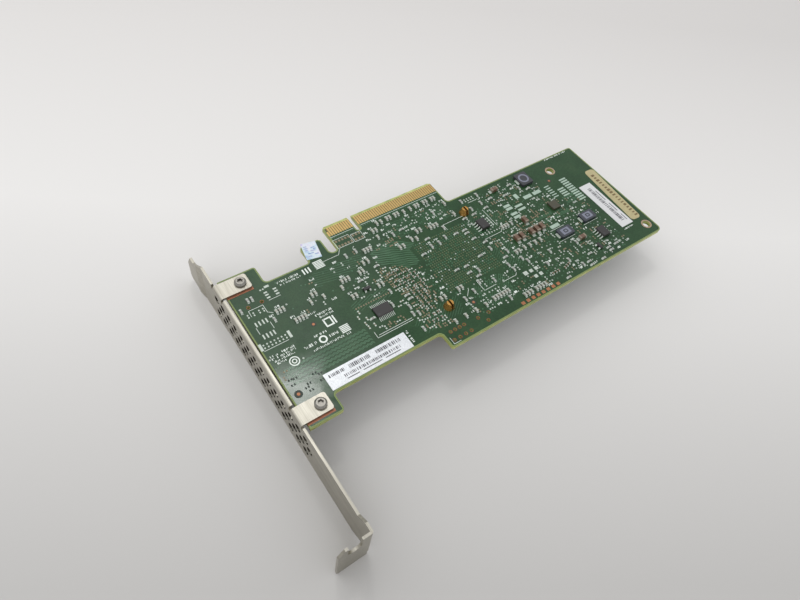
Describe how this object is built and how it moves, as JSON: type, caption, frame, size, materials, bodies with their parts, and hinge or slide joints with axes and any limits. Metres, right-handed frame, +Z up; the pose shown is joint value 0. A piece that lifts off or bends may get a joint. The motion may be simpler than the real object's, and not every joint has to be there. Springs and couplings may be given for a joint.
{
  "type": "host bus adapter card",
  "caption": "Plug-in host bus adapter: green circuit board with gold edge connector, folded vented mounting bracket, heat sink and inner cable ports, lying component side down.",
  "frame": {"origin": "Centre of the key notch at the tip of the edge connector, on the middle plane of the board.", "axes": "+X runs from the bracket to the far end, +Y points out of the edge connector, +Z is up, out of the solder side, as the card lies."},
  "size_m": [0.1791, 0.12, 0.0216],
  "materials": {
    "solder_mask": "semi-gloss green solder mask",
    "gold_plate": "gold-plated copper",
    "nickel_sheet": "bright nickel-plated steel sheet",
    "screw_steel": "plated steel",
    "bare_copper": "tinned copper land",
    "substrate_green": "chip laminate",
    "lid_nickel": "nickel-plated copper lid",
    "pad_grey": "soft thermal pad",
    "anodised_aluminium": "extruded aluminium",
    "pin_brass": "turned brass",
    "spring_steel": "spring wire",
    "port_steel": "plated cage steel",
    "port_plastic": "black moulding",
    "chip_black": "moulded chip body",
    "lead_tin": "tinned leads",
    "ferrite_grey": "pressed ferrite",
    "ferrite_black": "pressed ferrite",
    "capacitor_brown": "ceramic capacitor",
    "resistor_grey": "chip resistor glaze",
    "crystal_steel": "drawn can",
    "capacitor_black": "moulded capacitor",
    "light_white": "light lens",
    "label_silver": "silver label",
    "label_white": "white label",
    "label_tan": "tan label",
    "sticker_pearl": "pearly sticker"
  },
  "bodies": {
    "root": {"circuit_board": "solder_mask", "contacts_solder_side": "gold_plate", "contacts_component_side": "gold_plate", "mounting_bracket": "nickel_sheet", "ground_pads": "bare_copper", "bracket_screws": "screw_steel", "bracket_nuts": "screw_steel", "controller_substrate": "substrate_green", "controller_lid": "lid_nickel", "thermal_pad": "pad_grey", "heat_sink": "anodised_aluminium", "push_pins": "pin_brass", "push_pin_springs": "spring_steel", "cable_port_shell_a": "port_steel", "cable_port_insert_a": "port_plastic", "cable_port_shell_b": "port_steel", "cable_port_insert_b": "port_plastic", "driver_chip": "chip_black", "driver_chip_leads": "lead_tin", "switch_chips": "chip_black", "switch_chip_leads": "lead_tin", "transistor": "chip_black", "transistor_leads": "lead_tin", "flash_chip": "chip_black", "regulator_chip": "chip_black", "crystal_can": "crystal_steel", "power_inductors": "ferrite_grey", "power_inductor_terminals": "lead_tin", "filter_inductor": "ferrite_black", "filter_inductor_terminals": "lead_tin", "regulator_inductors": "ferrite_black", "regulator_inductor_terminals": "lead_tin", "bulk_capacitors": "capacitor_black", "bulk_capacitor_terminals": "lead_tin", "large_capacitors": "capacitor_brown", "chip_capacitors": "capacitor_brown", "chip_resistors": "resistor_grey", "small_capacitors": "capacitor_brown", "decoupling_capacitors": "capacitor_brown", "status_lights": "light_white", "wide_label": "label_silver", "white_label": "label_white", "tan_label": "label_tan", "inspection_sticker": "sticker_pearl"}
  },
  "joints": []
}
